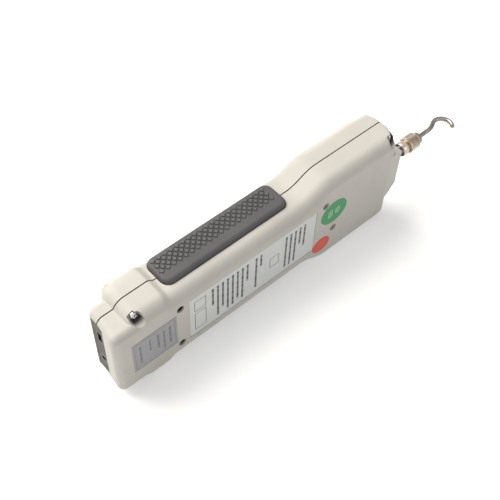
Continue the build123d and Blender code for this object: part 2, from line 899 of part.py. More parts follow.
# The ease is the arc that touches both the straight shank and the round bend.
ease_radius = (hook_reach**2 + hook_offset**2 - hook_radius**2) / (2 * (hook_radius + hook_offset))
ease_turn = math.degrees(math.asin(hook_reach / (ease_radius + hook_radius)))
with BuildPart() as hook:
    with BuildLine(Plane.XY):
        Line((collar_stop - wire_seat, 0), (shank_stop, 0))
        CenterArc((shank_stop, ease_radius), ease_radius, -90, ease_turn)
        CenterArc(
            (shank_stop + hook_reach, hook_offset),
            hook_radius,
            90 + ease_turn,
            hook_end_angle - 90 - ease_turn,
        )
    with BuildSketch(along(collar_stop - wire_seat)):
        Circle(wire_radius)
    sweep()
    tip = hook.faces().filter_by(GeomType.PLANE).sort_by(Axis.X)[-1]
    chamfer(tip.edges(), wire_radius / 3)
hook.part.label = "hook"
export_step(hook.part, "parts/hook.step")

# Labels and round stickers on the rear face
with BuildPart() as spec_label:
    with BuildSketch(at_height(label_recess - rear_depth)):
        with Locations((spec_label_x, 0)):
            Rectangle(spec_label_length, spec_label_width)
    extrude(amount=label_thickness)
spec_label.part.label = "spec_label"
export_step(spec_label.part, "parts/spec_label.step")

with BuildPart() as rating_label:
    with BuildSketch(at_height(-rear_depth)):
        with Locations((rating_label_x, 0)):
            Rectangle(rating_label_length, rating_label_width)
    extrude(amount=label_thickness)
rating_label.part.label = "rating_label"
export_step(rating_label.part, "parts/rating_label.step")

for colour, x, z, radius, stretch in (
    ("green", mount_head_x + green_shift, green_height, green_radius, green_stretch),
    ("red", mount_head_x, -head_mount_spacing / 2, red_radius, red_stretch),
):
    with BuildPart() as sticker:
        with BuildSketch(at_height(-rear_depth)):
            with Locations((x, z)):
                Ellipse(radius * stretch, radius)
        extrude(amount=label_thickness)
    sticker.part.label = f"{colour}_sticker"
    export_step(sticker.part, f"parts/{colour}_sticker.step")

# Main board, screwed under the front shell's bosses, and what it carries
with BuildPart() as main_board:
    with BuildSketch(at_height(board_top)):
        with Locations((board_centre_x, 0)):
            Rectangle(board_length, board_width)
        with Locations(*board_screws):
            Circle(board_screw_radius + screw_clear, mode=Mode.SUBTRACT)
    extrude(amount=board_thickness)
main_board.part.label = "main_board"
export_step(main_board.part, "parts/main_board.step")

with BuildPart() as display_module:
    with BuildSketch(at_height(board_top + display_thickness)):
        with Locations((display_x, 0)):
            Rectangle(display_length, display_width)
    extrude(amount=display_thickness)
display_module.part.label = "display_module"
export_step(display_module.part, "parts/display_module.step")

with BuildPart() as display_window:
    with BuildSketch(at_height(window_low + window_thickness)):
        with Locations((display_x, 0)):
            RectangleRounded(window_length, window_width, window_corner)
    extrude(amount=window_thickness)
display_window.part.label = "display_window"
export_step(display_window.part, "parts/display_window.step")

with BuildPart() as key_switches:
    with BuildSketch(at_height(key_low - key_travel - switch_clear)):
        with Locations(*key_places):
            Rectangle(switch_size, switch_size)
    extrude(amount=key_low - key_travel - switch_clear - board_top)
key_switches.part.label = "key_switches"
export_step(key_switches.part, "parts/key_switches.step")

with BuildPart() as processor:
    with BuildSketch(at_height(board_height)):
        with Locations((board_stop - board_length / 3, 0)):
            Rectangle(chip_length, chip_length)
    extrude(amount=chip_thickness)
processor.part.label = "processor"
export_step(processor.part, "parts/processor.step")

with BuildPart() as buzzer:
    add(
        posts(
            [(board_start + 2 * buzzer_radius, 0)],
            buzzer_radius,
            board_height - buzzer_thickness,
            board_height,
        )
    )
buzzer.part.label = "buzzer"
export_step(buzzer.part, "parts/buzzer.step")

key_names = ["power_key", "light_key", "unit_key", "peak_key", "zero_key", "memory_key"]
for name, place in zip(key_names, key_places):
    with BuildPart() as key:
        with BuildSketch(at_height(front_height + key_rise)):
            with Locations(place):
                RectangleRounded(key_length, key_width, key_corner)
        extrude(amount=front_height + key_rise - key_low)
        chamfer(key.faces().sort_by(Axis.Y)[-1].edges(), key_rise / 2)
        with BuildSketch(at_height(key_low + key_flange_thickness)):
            with Locations(place):
                RectangleRounded(key_length + 2 * key_flange, key_width + 2 * key_flange, key_corner)
        extrude(amount=key_flange_thickness)
    key.part.label = name
    export_step(key.part, f"parts/{name}.step")

# Battery in its tray
with BuildPart() as battery_tray:
    with BuildSketch(at_height(cell_height)):
        with Locations((tray_x, 0)):
            Rectangle(tray_length, tray_width)
    extrude(amount=cell_height - tray_floor)
    with BuildSketch(at_height(cell_height)):
        with Locations((tray_x, 0)):
            Rectangle(tray_length - 2 * tray_wall, tray_width - 2 * tray_wall)
    extrude(amount=cell_height - tray_floor - tray_wall, mode=Mode.SUBTRACT)
battery_tray.part.label = "battery_tray"
export_step(battery_tray.part, "parts/battery_tray.step")

with BuildPart() as battery_pack:
    with BuildSketch(along(tray_start + tray_wall + tray_play)):
        with Locations((cell_height, 0)):
            with GridLocations(cell_pitch, cell_pitch, 1, cell_count):
                Circle(cell_radius)
    extrude(amount=cell_length)
battery_pack.part.label = "battery_cells"
export_step(battery_pack.part, "parts/battery_cells.step")
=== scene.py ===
import math

import bmesh
import bpy
from mathutils import Matrix, Vector
from mathutils.kdtree import KDTree


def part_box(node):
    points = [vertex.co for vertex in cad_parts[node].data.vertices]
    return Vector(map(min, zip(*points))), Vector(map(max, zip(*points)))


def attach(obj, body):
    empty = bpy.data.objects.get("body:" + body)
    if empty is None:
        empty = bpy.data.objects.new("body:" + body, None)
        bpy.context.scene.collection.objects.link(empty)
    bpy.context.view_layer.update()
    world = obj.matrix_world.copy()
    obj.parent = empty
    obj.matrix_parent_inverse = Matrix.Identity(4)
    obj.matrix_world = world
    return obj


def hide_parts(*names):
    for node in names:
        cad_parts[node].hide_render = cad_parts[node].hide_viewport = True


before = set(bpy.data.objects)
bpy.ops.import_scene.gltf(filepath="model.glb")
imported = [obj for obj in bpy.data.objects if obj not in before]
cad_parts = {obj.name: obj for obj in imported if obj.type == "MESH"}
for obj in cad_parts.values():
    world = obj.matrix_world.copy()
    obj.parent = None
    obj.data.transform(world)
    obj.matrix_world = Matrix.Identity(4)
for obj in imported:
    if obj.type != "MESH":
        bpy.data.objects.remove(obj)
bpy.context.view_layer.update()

MM = 0.001


def box_mm(node):
    """Low and high corner of a solid's box, in millimetres."""
    return [Vector(corner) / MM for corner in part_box(node)]


# Sizes of the scene's own pieces, in millimetres, in the frame of the solids.
# Those that follow a solid are read from its box.

# Front half: where its side wall meets the front slope, and how that ridge is rounded
front_top = box_mm("front_shell")[1].y
SLOPE_RUN = 14.5
SLOPE_RISE = 8.6
RIDGE_LEVEL = front_top - SLOPE_RISE
RIDGE_REACH = 5.5         # how far the rounding reaches on either side of the ridge
WAIST_SHARE = 0.3         # share of that reach beside the grips
CORNER_REACH = 3.3        # how much further it reaches at the head's two corners
HEAD_END = -10.0          # end wall of the head, behind the nose
TAIL_SKIN = -191.0        # points beyond this are on the tail's outer skin
SIDE_SKIN = 26.2          # points further out than this are on the side walls' outer skin
SKIN_LOW = -10.0          # lowest and highest skin points that move, from the ridge
SKIN_HIGH = 5.3
CREASE = 22               # least angle at the ridge, in degrees
RIDGE_CLIMB = 2.2         # how far the ridge climbs round the corners
CORE_TAIL = -150          # ends of the line along the middle that the skin faces away from
CORE_HEAD = -60
HEAD_BLEND = (-74, -60)   # X over which the rounding grows from the grips to the head
TAIL_BLEND = (-176, -184)
CORNER_X = (-24, -14)     # X and width over which it grows further to the head's corners
CORNER_Z = (18, 26)

# Grip pattern: rows of diamonds on each pad
pad_low, pad_high = box_mm("upper_grip_pad")
GRIP_FACE = pad_high.z
STUD_PITCH_X = 3.8        # from corner to corner
STUD_PITCH_Y = 3.75
STUD_COLUMNS = 20
STUD_ROWS = 3
STUD_CENTRE_X = (pad_low.x + pad_high.x) / 2 - 1.4
STUD_CENTRE_Y = (pad_low.y + pad_high.y) / 2 + 2.15
STUD_RISE = 0.6
STUD_SINK = 0.04          # depth of a stud's foot in the pad
STUD_SIZE = 3.5           # across a diamond's corners, at its foot
STUD_CREST = 0.62         # share of that size at its top

# Shaft with its flange and thread, about the X axis
shaft_low, shaft_high = box_mm("measuring_shaft")
SHAFT_RADIUS = 3.0
FLANGE_RADIUS = shaft_high.y
FLANGE_BACK = -19.9
FLANGE_FRONT = -17.3
EDGE = 0.4                # chamfer of the shaft's and the flange's edges
THREAD_PITCH = 1.0
THREAD_DEPTH = 0.55
THREAD_START = 1.2
THREAD_STOP = 16.4
THREAD_STEPS = 8          # rings in one turn of the thread

# Collar of the hook, with a knurled grip and a plain tip
collar_back = box_mm("hook_collar")[0].x
KNURL_START = collar_back + 7.1
KNURL_STOP = collar_back + 13.1
TIP_START = collar_back + 13.65
KNURLS = 34
KNURL_DEPTH = 0.45

# Pan-head screws of the case, which stand on the floors of their pockets
screws_low, screws_high = box_mm("case_screws")
HEAD_RADIUS = 2.6
HEAD_RISE = 1.8
SHANK_RADIUS = 1.4
RECESS_ARM = 1.35         # half the length of the cross recess, and half the width of its slits
RECESS_SLIT = 0.3
RECESS_FLOOR = 0.7        # height of its floor in the head
RECESS_TAPER = 0.75       # its size at the floor, as a share
POCKET_FLOOR = screws_low.y + HEAD_RISE
SHANK_LENGTH = screws_high.y - POCKET_FLOOR
SCREW_PLACES = (          # X, and Z to either side
    (screws_low.x + HEAD_RADIUS, 25.9),
    (screws_high.x - HEAD_RADIUS, 29.8),
)

# Painted shade in the gap between the shells and deep in the screw pockets
SEAM = 4.1                # middle of the gap
SEAM_HALF = 0.32
POCKET_SHADE_RADIUS = 3.6
POCKET_SHADE_WIDTH = 3.05  # from a screw's axis to the outer end of the painted shade
POCKET_SHADE_TOP = -7.6
POCKET_SHADE_FULL = -9.8

# Print on the labels and stickers
INK = 0.008               # height of a printed rule
DASHES = (3.2, 1.8, 4.1, 2.4, 2.9, 1.4, 3.6)   # lengths of the dashes in a rule, in turn
DASH_GAP = 0.55
NOTE_MARGIN = 13.5        # Z at which the rows of each label start
RATING_MARGIN = 8.0
NOTE_THICKNESS = 1.35
STICKER_THICKNESS = 0.5
NOTE_BOX_LINE = 0.35
BORDER_LINE = 0.3
BORDER_INSET = 1.2


# ---------------------------------------------------------------- small helpers

def linear(code):
    """sRGB hex colour as linear RGBA."""
    values = [int(code[start:start + 2], 16) / 255 for start in (0, 2, 4)]
    return [v / 12.92 if v <= 0.04045 else ((v + 0.055) / 1.055) ** 2.4 for v in values] + [1.0]


def add(tree, kind, sockets=(), **settings):
    """Adds a node with its settings, and fills or links its sockets by name or number.

    A node given for a socket is linked from its first output.
    """
    node = tree.nodes.new(kind)
    for name, value in settings.items():
        setattr(node, name, value)
    for key, value in dict(sockets).items():
        if isinstance(value, bpy.types.Node):
            value = value.outputs[0]
        if isinstance(value, bpy.types.NodeSocket):
            tree.links.new(value, node.inputs[key])
        else:
            node.inputs[key].default_value = value
    return node


def started(name):
    """New empty material, with its tree and its Object coordinates."""
    material = bpy.data.materials.new(name)
    material.use_nodes = True
    tree = material.node_tree
    tree.nodes.clear()
    return material, tree, add(tree, "ShaderNodeTexCoord").outputs["Object"]


def placed(name, data):
    """New object in the scene."""
    item = bpy.data.objects.new(name, data)
    bpy.context.scene.collection.objects.link(item)
    return item


# ---------------------------------------------------------------- painted shade and darker marks

# Each function gives a mask, from 0 where a surface keeps its own colour to 1 where it is darkened, mostly
# as painted shade.

def shell_painted_shade(tree, place):
    """Painted shade on the shells: in the parting line and deep in the screw pockets."""
    height = add(tree, "ShaderNodeSeparateXYZ", {0: place}).outputs["Y"]
    mirrored = add(tree, "ShaderNodeVectorMath", {0: place}, operation="ABSOLUTE")
    width = add(tree, "ShaderNodeSeparateXYZ", {0: mirrored}).outputs["Z"]
    flat = add(tree, "ShaderNodeVectorMath", {0: mirrored, 1: (1, 0, 1)}, operation="MULTIPLY")
    sunk = add(tree, "ShaderNodeMath", {0: height, 1: (POCKET_FLOOR + 0.3) * MM}, operation="LESS_THAN")
    deep = add(tree, "ShaderNodeMapRange", {
        "Value": height, "From Min": POCKET_SHADE_FULL * MM, "From Max": POCKET_SHADE_TOP * MM,
        "To Max": 0.85,
    })
    shaded = add(tree, "ShaderNodeMath", {0: height, 1: SEAM * MM, 2: SEAM_HALF * MM}, operation="COMPARE")
    for x, z in SCREW_PLACES:
        away = add(tree, "ShaderNodeVectorMath", {0: flat, 1: (-x * MM, 0, z * MM)}, operation="DISTANCE")
        pocket = add(tree, "ShaderNodeMath", {
            0: away.outputs["Value"], 1: POCKET_SHADE_RADIUS * MM,
        }, operation="LESS_THAN")
        within = add(tree, "ShaderNodeMath", {
            0: width, 1: (z + POCKET_SHADE_WIDTH) * MM,
        }, operation="LESS_THAN")
        for limit in (within, sunk, deep):
            pocket = add(tree, "ShaderNodeMath", {0: pocket, 1: limit}, operation="MULTIPLY")
        shaded = add(tree, "ShaderNodeMath", {0: shaded, 1: pocket}, operation="MAXIMUM")
    return shaded


def stud_painted_shade(tree, place):
    """Painted shade round the foot of each stud of the grips."""
    mirrored = add(tree, "ShaderNodeVectorMath", {0: place}, operation="ABSOLUTE")
    width = add(tree, "ShaderNodeSeparateXYZ", {0: mirrored}).outputs["Z"]
    return add(tree, "ShaderNodeMapRange", {
        "Value": width, "From Min": (GRIP_FACE + 0.05) * MM, "From Max": (GRIP_FACE + 0.45) * MM,
        "To Min": 0.85, "To Max": 0.0,
    })


def collar_groove_shade_and_tip(tree, place):
    """Where the collar is darker: painted shade in the grooves of its knurl, and a darker tip."""
    along = add(tree, "ShaderNodeSeparateXYZ", {0: place}).outputs["X"]
    across = add(tree, "ShaderNodeVectorMath", {0: place, 1: (0, 1, 1)}, operation="MULTIPLY")
    radius = add(tree, "ShaderNodeVectorMath", {0: across}, operation="LENGTH").outputs["Value"]
    groove = add(tree, "ShaderNodeMapRange", {
        "Value": radius, "From Min": 4.55 * MM, "From Max": 4.95 * MM, "To Min": 0.5, "To Max": 0.0,
    })
    for limit, side in ((KNURL_START, "GREATER_THAN"), (KNURL_STOP, "LESS_THAN")):
        inside = add(tree, "ShaderNodeMath", {0: along, 1: limit * MM}, operation=side)
        groove = add(tree, "ShaderNodeMath", {0: groove, 1: inside}, operation="MULTIPLY")
    tip = add(tree, "ShaderNodeMath", {0: along, 1: TIP_START * MM}, operation="GREATER_THAN")
    tip = add(tree, "ShaderNodeMath", {0: tip, 1: 0.6}, operation="MULTIPLY")
    return add(tree, "ShaderNodeMath", {0: groove, 1: tip}, operation="MAXIMUM")


# ---------------------------------------------------------------- makes of material

CLOUD_SIZE = 22.2         # width of the patterns, in millimetres
LINE_WIDTH = 1.0
STAIN_SIZE = 5.56
WAVE_SIZE = 11.1
FIBRE_SIZE = 16.7
# Darker tones that the marks blend to: painted shade on the plastics, and on the collar painted shade in
# its knurl and a darker tip.
PAINTED_SHADE = "2B2926"
METAL_SHADE_TONE = "54483D"


def two_tone(tree, place, blend, low, high, marks, dark_tone):
    """Colour that runs from one tone to another, and to a darker tone where the marks say: painted shade,
    or the collar's darker tip.
    """
    tones = add(tree, "ShaderNodeValToRGB", {0: blend})
    first, last = tones.color_ramp.elements
    first.position, last.position = 0.3, 0.7
    first.color, last.color = linear(low), linear(high)
    if not marks:
        return tones
    marked = {0: marks(tree, place), 6: tones, 7: linear(dark_tone)}
    return add(tree, "ShaderNodeMix", marked, data_type="RGBA").outputs[2]


def moulded(name, low, high, grain, bump, roughness, spread=0.06, marks=None):
    """Moulded, coated or printed surface: faint clouds of colour and a fine grain, in millimetres."""
    material, tree, place = started(name)
    clouds = add(tree, "ShaderNodeTexNoise", {
        "Vector": place, "Scale": 1 / (CLOUD_SIZE * MM), "Detail": 4.0,
    })
    specks = add(tree, "ShaderNodeTexNoise", {"Vector": place, "Scale": 1 / (grain * MM), "Detail": 2.0})
    blend = add(tree, "ShaderNodeMix", {0: 0.35, 2: clouds, 3: specks})
    rough = add(tree, "ShaderNodeMapRange", {
        "Value": specks, "To Min": roughness - spread, "To Max": roughness + spread,
    })
    relief = add(tree, "ShaderNodeBump", {
        "Strength": bump, "Distance": grain * MM / 8, "Height": specks,
    })
    surface = add(tree, "ShaderNodeBsdfPrincipled", {
        "Base Color": two_tone(tree, place, blend, low, high, marks, PAINTED_SHADE),
        "Roughness": rough, "IOR": 1.5, "Normal": relief,
    })
    add(tree, "ShaderNodeOutputMaterial", {"Surface": surface})
    return material


def worked_metal(name, low, high, roughness, stretch, marks=None):
    """Turned, drawn or plated metal: fine lines stretched along one axis, and faint stains."""
    material, tree, place = started(name)
    stretched = add(tree, "ShaderNodeMapping", {"Vector": place, "Scale": stretch})
    lines = add(tree, "ShaderNodeTexNoise", {
        "Vector": stretched, "Scale": 1 / (LINE_WIDTH * MM), "Detail": 3.0,
    })
    stains = add(tree, "ShaderNodeTexNoise", {
        "Vector": place, "Scale": 1 / (STAIN_SIZE * MM), "Detail": 3.0,
    })
    blend = add(tree, "ShaderNodeMix", {0: 0.5, 2: lines, 3: stains})
    rough = add(tree, "ShaderNodeMapRange", {
        "Value": blend, "To Min": roughness - 0.08, "To Max": roughness + 0.08,
    })
    relief = add(tree, "ShaderNodeBump", {"Strength": 0.15, "Distance": 0.02 * MM, "Height": lines})
    surface = add(tree, "ShaderNodeBsdfPrincipled", {
        "Base Color": two_tone(tree, place, blend, low, high, marks, METAL_SHADE_TONE),
        "Metallic": 1.0, "Roughness": rough, "Normal": relief,
    })
    add(tree, "ShaderNodeOutputMaterial", {"Surface": surface})
    return material


# ---------------------------------------------------------------- materials

# ABS, injection moulded in a spark-eroded tool: warm light grey with a satin, slightly clouded sheen.
# The grain is 0.4 mm and drawn a little coarser, so that it shows. Painted shade darkens the parting line
# and the deep floors of the screw pockets.
shell_abs = moulded(
    "warm_grey_abs", "C0BDB6", "C9C6BF", grain=0.5, bump=0.35, roughness=0.58, marks=shell_painted_shade)
# Soft thermoplastic rubber, moulded over a hard core: dark warm grey, dull, with rounded highlights.
grip_tpe = moulded(
    "dark_grey_tpe", "474648", "525153", grain=0.6, bump=0.5, roughness=0.62, spread=0.08)
# The same rubber on the crests of the pattern, a little smoother and paler than the pad, with painted shade
# round each stud's foot.
crest_tpe = moulded(
    "paler_grey_tpe", "4C4B4C", "5A5959", grain=0.6, bump=0.4, roughness=0.5, spread=0.08, marks=stud_painted_shade)
# Glass-filled nylon end panel: olive-black, dry and finely pitted.
panel_nylon = moulded("olive_black_nylon", "3F3E34", "49483E", grain=0.5, bump=0.5, roughness=0.6)
# Black PBT of sockets, switches and the buzzer: smoother than the panel.
socket_pbt = moulded("black_pbt", "161616", "202020", grain=0.4, bump=0.25, roughness=0.4)
# Silicone rubber of the keys: blue-grey, dull.
key_silicone = moulded("blue_grey_silicone", "4A4F55", "555A60", grain=0.5, bump=0.3, roughness=0.65)
# Plastic film shrunk round the cells: green, smooth and shiny.
sleeve_film = moulded("green_shrink_sleeve", "2F6B45", "377750", grain=0.8, bump=0.1, roughness=0.25)
# ABS of the cells' tray: black, with a satin sheen.
tray_abs = moulded("black_abs", "1D1D1E", "262627", grain=0.5, bump=0.3, roughness=0.5)
# Glass-fibre laminate with green solder mask: the weave shows through as a faint relief.
board_fr4 = moulded("green_solder_mask", "14502F", "1A5B37", grain=0.9, bump=0.3, roughness=0.3)
# Printed polyester film: cool pale grey or mid grey, satin, nearly even.
label_film = moulded(
    "pale_grey_polyester_film", "D4D7D4", "DADDDA", grain=0.3, bump=0.06, roughness=0.35, spread=0.03)
rating_film = moulded(
    "mid_grey_polyester_film", "9A9A9D", "A2A2A4", grain=0.3, bump=0.06, roughness=0.38, spread=0.03)
# Screen-printing inks: dull, and slightly uneven in cover.
ink_dark = moulded("dark_grey_screen_ink", "2C2E32", "3A3C40", grain=0.3, bump=0.1, roughness=0.5)
ink_grey = moulded("mid_grey_screen_ink", "6E7074", "7A7C80", grain=0.3, bump=0.1, roughness=0.5)
ink_pale = moulded("pale_green_screen_ink", "C2D9C8", "CFE2D4", grain=0.3, bump=0.1, roughness=0.5)
ink_rose = moulded("pale_red_screen_ink", "DC6A56", "E17664", grain=0.3, bump=0.1, roughness=0.5)
# Coated paper stickers: saturated, faintly mottled by the paper's fibres.
green_paper = moulded("green_coated_paper", "248C4E", "2E9859", grain=0.25, bump=0.15, roughness=0.45)
red_paper = moulded("red_coated_paper", "D8432C", "E24E36", grain=0.25, bump=0.15, roughness=0.45)
# Liquid crystal cell under its polariser: flat grey-green.
lcd_polariser = moulded(
    "grey_green_polariser", "8E9884", "949E8A", grain=0.6, bump=0.02, roughness=0.25, spread=0.02)

# Zinc-plated steel of the screws and the bracket: bright, a little cloudy from the plating bath.
zinc_steel = worked_metal("zinc_plated_steel", "B4B4B2", "D2D2CF", roughness=0.24, stretch=(1, 1, 1))
# Nickel over brass, turned and straight-knurled: warm pinkish white with circular tool lines, painted shade
# in the knurl's grooves and a darker tip.
collar_nickel = worked_metal(
    "nickel_plated_brass", "A3968A", "CCBEB0", roughness=0.28, stretch=(6, 0.4, 0.4), marks=collar_groove_shade_and_tip)
# Drawn steel wire, nickel plated: neutral, with fine lines along the wire and darker stains.
wire_nickel = worked_metal(
    "nickel_plated_wire", "4F4943", "A9A298", roughness=0.27, stretch=(0.3, 2, 2))
# Turned stainless steel of the shaft and the nose ring: cool grey with fine rings round it.
shaft_stainless = worked_metal(
    "turned_stainless_steel", "55524F", "8B8782", roughness=0.3, stretch=(6, 0.4, 0.4))
# Free-cutting brass of the inserts, dulled by handling.
insert_brass = worked_metal("dulled_brass", "4E4637", "6F6650", roughness=0.4, stretch=(1, 1, 1))
# Milled aluminium of the load cell: pale, with fine cutter lines.
cell_aluminium = worked_metal(
    "milled_aluminium", "B9BABC", "D0D1D3", roughness=0.34, stretch=(0.5, 0.5, 5))
# Gold-flashed phosphor bronze of the contacts.
contact_gold = worked_metal("gold_flashed_bronze", "B8923C", "D8B45A", roughness=0.25, stretch=(1, 1, 1))

# Clear acrylic window of the display, hard coated: glossy, with long shallow waves.
acrylic, tree, place = started("clear_acrylic")
waves = add(tree, "ShaderNodeTexNoise", {"Vector": place, "Scale": 1 / (WAVE_SIZE * MM), "Detail": 1.0})
relief = add(tree, "ShaderNodeBump", {"Strength": 0.03, "Distance": 0.02 * MM, "Height": waves})
tint = add(tree, "ShaderNodeValToRGB", {0: waves})
tint.color_ramp.elements[0].color = linear("E6ECE8")
tint.color_ramp.elements[1].color = linear("F2F5F3")
surface = add(tree, "ShaderNodeBsdfPrincipled", {
    "Base Color": tint, "Roughness": 0.04, "IOR": 1.49, "Transmission Weight": 1.0, "Normal": relief,
})
add(tree, "ShaderNodeOutputMaterial", {"Surface": surface})

finishes = (
    (shell_abs, "rear_shell", "front_shell"),
    (grip_tpe, "upper_grip_pad", "lower_grip_pad"),
    (panel_nylon, "end_panel"),
    (socket_pbt, "data_socket", "power_jack", "key_switches", "processor", "buzzer"),
    (zinc_steel, "board_screws", "bracket_screws", "load_cell_screws", "load_cell_bracket"),
    (insert_brass, "tail_inserts"),
    (cell_aluminium, "load_cell"),
    (shaft_stainless, "nose_ring"),
    (wire_nickel, "hook"),
    (label_film, "spec_label"),
    (rating_film, "rating_label"),
    (green_paper, "green_sticker"),
    (red_paper, "red_sticker"),
    (board_fr4, "main_board"),
    (lcd_polariser, "display_module"),
    (acrylic, "display_window"),
    (tray_abs, "battery_tray"),
    (sleeve_film, "battery_cells"),
    (key_silicone, "power_key", "light_key", "unit_key", "peak_key", "zero_key", "memory_key"),
)
for material, *nodes in finishes:
    for node in nodes:
        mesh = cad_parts[node].data
        mesh.materials.clear()
        mesh.materials.append(material)


# ---------------------------------------------------------------- mesh helpers

def kept(name, mesh, material, body, slot, *nodes):
    """Links a finished mesh as a piece that rides on a body, and hides the solids that it stands for, if
    any are given.
    """
    piece = placed(name, mesh)
    if material:
        mesh.materials.clear()
        mesh.materials.append(material)
    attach(piece, body)
    if nodes:
        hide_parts(*nodes)


def scaled_mesh(name, build, smooth_angle=35.0):
    """Mesh from a bmesh in millimetres, with smooth faces and sharp edges by angle."""
    mesh = bpy.data.meshes.new(name)
    bmesh.ops.remove_doubles(build, verts=build.verts, dist=1e-5)
    bmesh.ops.recalc_face_normals(build, faces=build.faces)
    bmesh.ops.scale(build, vec=(MM, MM, MM), verts=build.verts)
    for face in build.faces:
        face.smooth = True
    for edge in build.edges:
        if len(edge.link_faces) == 2 and math.degrees(edge.calc_face_angle()) > smooth_angle:
            edge.smooth = False
    build.to_mesh(mesh)
    build.free()
    return mesh


def turned(profile, sides, radius_at=None):
    """Closed turned form about +X. The profile is (x, radius) points from axis to axis."""
    build = bmesh.new()
    rings = []
    for x, radius in profile:
        if radius < 1e-6:
            rings.append([build.verts.new((x, 0, 0))])
            continue
        ring = []
        for step in range(sides):
            angle = 2 * math.pi * step / sides
            out = radius_at(x, radius, angle) if radius_at else radius
            ring.append(build.verts.new((x, out * math.cos(angle), out * math.sin(angle))))
        rings.append(ring)
    for first, second in zip(rings, rings[1:]):
        for step in range(sides):
            after = (step + 1) % sides
            corners = [
                first[step % len(first)], first[after % len(first)],
                second[after % len(second)], second[step % len(second)],
            ]
            corners = list(dict.fromkeys(corners))
            if len(corners) > 2:
                build.faces.new(corners)
    return build


def plain_copy(source, name):
    """Plain mesh of an object with its modifiers, which are then removed with the object."""
    bpy.context.view_layer.update()
    seen = source.evaluated_get(bpy.context.evaluated_depsgraph_get())
    mesh = bpy.data.meshes.new_from_object(seen)
    mesh.name = name
    bpy.data.objects.remove(source)
    return mesh


def new_tree(name, inputs):
    """Empty Geometry Nodes tree with named inputs, and the sockets that hold them."""
    tree = bpy.data.node_groups.new(name, "GeometryNodeTree")
    tree.interface.new_socket("Geometry", in_out="OUTPUT", socket_type="NodeSocketGeometry")
    for label, kind in inputs.items():
        tree.interface.new_socket(label, in_out="INPUT", socket_type=kind)
    return tree, add(tree, "NodeGroupInput").outputs


def set_at_points(tree, points, piece, material):
    """Ends a tree: one real copy of a piece at each point, in a material."""
    copies = add(tree, "GeometryNodeInstanceOnPoints", {"Points": points, "Instance": piece})
    real = add(tree, "GeometryNodeRealizeInstances", {0: copies})
    dressed = add(tree, "GeometryNodeSetMaterial", {"Geometry": real, "Material": material})
    add(tree, "NodeGroupOutput", {0: dressed})


def grown(name, tree, inputs):
    """Runs a Geometry Nodes tree with named inputs and returns its result as a plain mesh."""
    carrier = placed(name + "_carrier", bpy.data.meshes.new(name + "_start"))
    modifier = carrier.modifiers.new(name, "NODES")
    modifier.node_group = tree
    sockets = {item.name: item.identifier for item in tree.interface.items_tree if item.in_out == "INPUT"}
    for label, value in inputs.items():
        modifier[sockets[label]] = value
    return plain_copy(carrier, name)


# ---------------------------------------------------------------- softened front half

# The front half is the solid's own shape, with the ridge where its side wall meets the front
# slope rounded off: slightly beside the grips, fully on the head and the tail, and widest at the
# head's two corners. Cuts at these heights from the ridge give the skin its points.
CUTS = (
    -9.8, -8.4, -7.0, -5.6, -4.4, -3.4, -2.5, -1.8, -1.2, -0.6,
    0.35, 0.7, 1.1, 1.6, 2.2, 2.9, 3.6, 4.4, 5.2,
)
# Ways in which a point on the wall and one on the slope move, as shares inward and down
WALL_WAY = Vector((1.0, 0.0))
SLOPE_WAY = Vector((SLOPE_RISE, SLOPE_RUN)).normalized()


def progress(value, start, stop):
    """How far a value has come from a start to a stop, from 0 to 1."""
    return max(0, min(1, (value - start) / (stop - start)))


def on_ridge(edge):
    """Whether an edge is a crease of the outer skin near the ridge's level."""
    if len(edge.link_faces) != 2 or edge.calc_face_angle() < math.radians(CREASE):
        return False
    heights = [vert.co.y / MM - RIDGE_LEVEL for vert in edge.verts]
    return min(heights) > -0.1 and max(heights) < RIDGE_CLIMB and all(v.normal.y > 0.1 for v in edge.verts)


def outward_at(vert):
    """Level direction in which the outer skin faces at a point, or almost nothing elsewhere."""
    x, _, z = vert.co / MM
    core = Vector((x - min(max(x, CORE_TAIL), CORE_HEAD), 0, z))
    outward = Vector((0, 0, 0))
    for face in vert.link_faces:
        flat = Vector((face.normal.x, 0, face.normal.z))
        if flat.length > 0.3 and flat.dot(core) > 0 and face.normal.y > -0.05:
            outward += flat.normalized()
    return outward


def sunk_by(height, reach):
    """How far a skin point at a height over the ridge moves in and down, both in millimetres."""
    gap = height * SLOPE_RUN / SLOPE_RISE if height > 0 else -height * SLOPE_WAY.y
    share = max(0.0, 1 - gap / reach)
    wall_share = share / 2 if height > 0 else 1 - share / 2
    way = (WALL_WAY * wall_share + SLOPE_WAY * (1 - wall_share)).normalized()
    return way * reach / 4 * share * share


def skin_move(vert, level):
    """Move of a point, in millimetres, for a ridge at a level. It is None off the moved skin."""
    x, y, z = vert.co / MM
    height = y - level
    depth = max(0, height) * SLOPE_RUN / SLOPE_RISE
    in_skin = abs(z) > SIDE_SKIN - depth or x > HEAD_END - 0.6 - depth or x < TAIL_SKIN + depth
    outward = outward_at(vert)
    if not SKIN_LOW < height < SKIN_HIGH or not in_skin or x > HEAD_END - 0.1 or outward.length < 0.3:
        return None
    swell = max(progress(x, *HEAD_BLEND), progress(x, *TAIL_BLEND))
    corner = progress(x, *CORNER_X) * progress(abs(z), *CORNER_Z)
    reach = RIDGE_REACH * (WAIST_SHARE + (1 - WAIST_SHARE) * swell) + CORNER_REACH * corner
    inward, down = sunk_by(height, reach)
    return outward.normalized() * -inward - Vector((0, down, 0))


shell_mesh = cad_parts["front_shell"].data.copy()
shell_mesh.attributes.remove(shell_mesh.attributes["custom_normal"])
form = bmesh.new()
form.from_mesh(shell_mesh)
bmesh.ops.remove_doubles(form, verts=form.verts, dist=1e-6)
for cut in CUTS:
    bmesh.ops.bisect_plane(
        form, geom=form.verts[:] + form.edges[:] + form.faces[:],
        plane_co=(0, (RIDGE_LEVEL + cut) * MM, 0), plane_no=(0, 1, 0))
form.normal_update()
